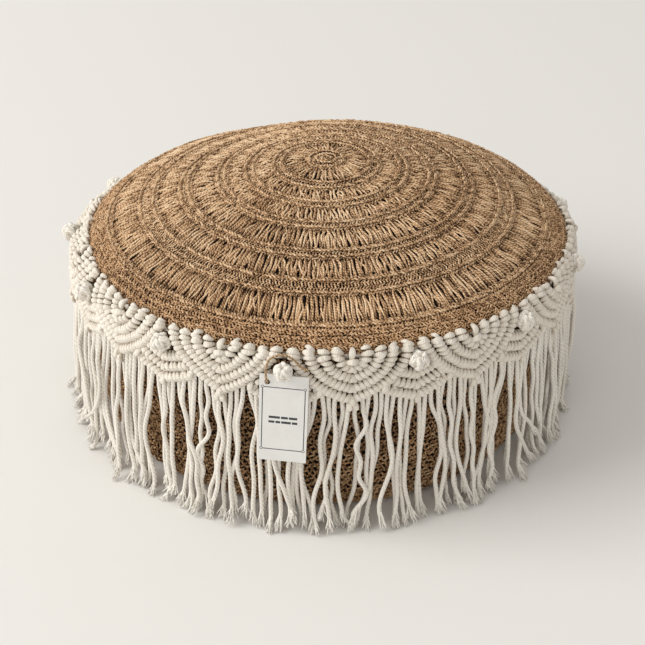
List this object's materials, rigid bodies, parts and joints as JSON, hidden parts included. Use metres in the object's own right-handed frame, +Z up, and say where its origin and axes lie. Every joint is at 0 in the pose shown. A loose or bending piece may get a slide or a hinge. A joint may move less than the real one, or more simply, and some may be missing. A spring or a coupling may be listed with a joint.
{
  "type": "floor cushion",
  "caption": "Round floor cushion with a domed crocheted grass-fibre cover, a knotted cotton band and long fringe round its rim, a hang tag on twine and a zip in its base.",
  "frame": {"origin": "middle of the flat underside, on the floor", "axes": "+Z up along the cushion's round axis, -Y towards the side where the hang tag is tied, +X to the right of someone who faces the tag"},
  "size_m": [0.604, 0.604, 0.295],
  "materials": {
    "grass_top": "crocheted twisted seagrass yarn, dry and matt, light highlights and dark gaps",
    "grass_side": "crocheted twisted seagrass yarn, darker and tighter",
    "liner_cloth": "plain dark brown woven cotton",
    "foam": "open-cell cushion foam",
    "fibre": "loose white fibre filling",
    "cotton_cord": "knotted single-twist natural cotton cord, soft and matt",
    "cotton_fringe": "three-ply natural cotton cord with frayed ends",
    "tag_paper": "uncoated white card with a thin dark line frame",
    "jute_twine": "thin brown jute twine",
    "zip_tape": "dark brown woven zip tape",
    "zip_brass": "antique brass"
  },
  "bodies": {
    "root": {"top_cover": "grass_top", "side_cover": "grass_side", "base_cover": "grass_side", "top_seam_cord": "grass_side", "base_seam_cord": "grass_side", "liner": "liner_cloth", "foam_disc": "foam", "fibre_fill": "fibre", "holding_cord": "cotton_cord", "macrame_01": "cotton_cord", "macrame_02": "cotton_cord", "macrame_03": "cotton_cord", "macrame_04": "cotton_cord", "macrame_05": "cotton_cord", "macrame_06": "cotton_cord", "macrame_07": "cotton_cord", "macrame_08": "cotton_cord", "macrame_09": "cotton_cord", "macrame_10": "cotton_cord", "macrame_11": "cotton_cord", "macrame_12": "cotton_cord", "macrame_13": "cotton_cord", "fringe_01": "cotton_fringe", "fringe_02": "cotton_fringe", "fringe_03": "cotton_fringe", "fringe_04": "cotton_fringe", "fringe_05": "cotton_fringe", "fringe_06": "cotton_fringe", "fringe_07": "cotton_fringe", "fringe_08": "cotton_fringe", "fringe_09": "cotton_fringe", "fringe_10": "cotton_fringe", "fringe_11": "cotton_fringe", "fringe_12": "cotton_fringe", "fringe_13": "cotton_fringe", "berry_knot_01": "cotton_cord", "berry_knot_02": "cotton_cord", "berry_knot_03": "cotton_cord", "berry_knot_04": "cotton_cord", "berry_knot_05": "cotton_cord", "berry_knot_06": "cotton_cord", "berry_knot_07": "cotton_cord", "berry_knot_08": "cotton_cord", "berry_knot_09": "cotton_cord", "berry_knot_10": "cotton_cord", "berry_knot_11": "cotton_cord", "berry_knot_12": "cotton_cord", "berry_knot_13": "cotton_cord", "zip_tape_front": "zip_tape", "zip_tape_back": "zip_tape"},
    "tag_twine": {"tag_twine": "jute_twine"},
    "tag_card": {"tag_card": "tag_paper"},
    "zip_slider": {"zip_slider": "zip_brass"},
    "zip_pull": {"zip_pull": "zip_brass"}
  },
  "joints": [
    {"name": "tag_sway", "type": "hinge", "parent": "root", "child": "tag_twine", "pos_m": [0, -0.288, 0.2], "axis": [0, -1, 0], "range_deg": [-12, 12]},
    {"name": "tag_lift", "type": "hinge", "parent": "tag_twine", "child": "tag_card", "pos_m": [-0.017, -0.28609, 0.18374], "axis": [-1, 0, 0], "range_deg": [0, 12]},
    {"name": "zip_slide", "type": "slide", "parent": "root", "child": "zip_slider", "axis": [1, 0, 0], "range_m": [0, 0.34]},
    {"name": "zip_pull_flip", "type": "hinge", "parent": "zip_slider", "child": "zip_pull", "pos_m": [-0.1638, 0, 0.00195], "axis": [0, 1, 0], "range_deg": [0, 105]}
  ]
}
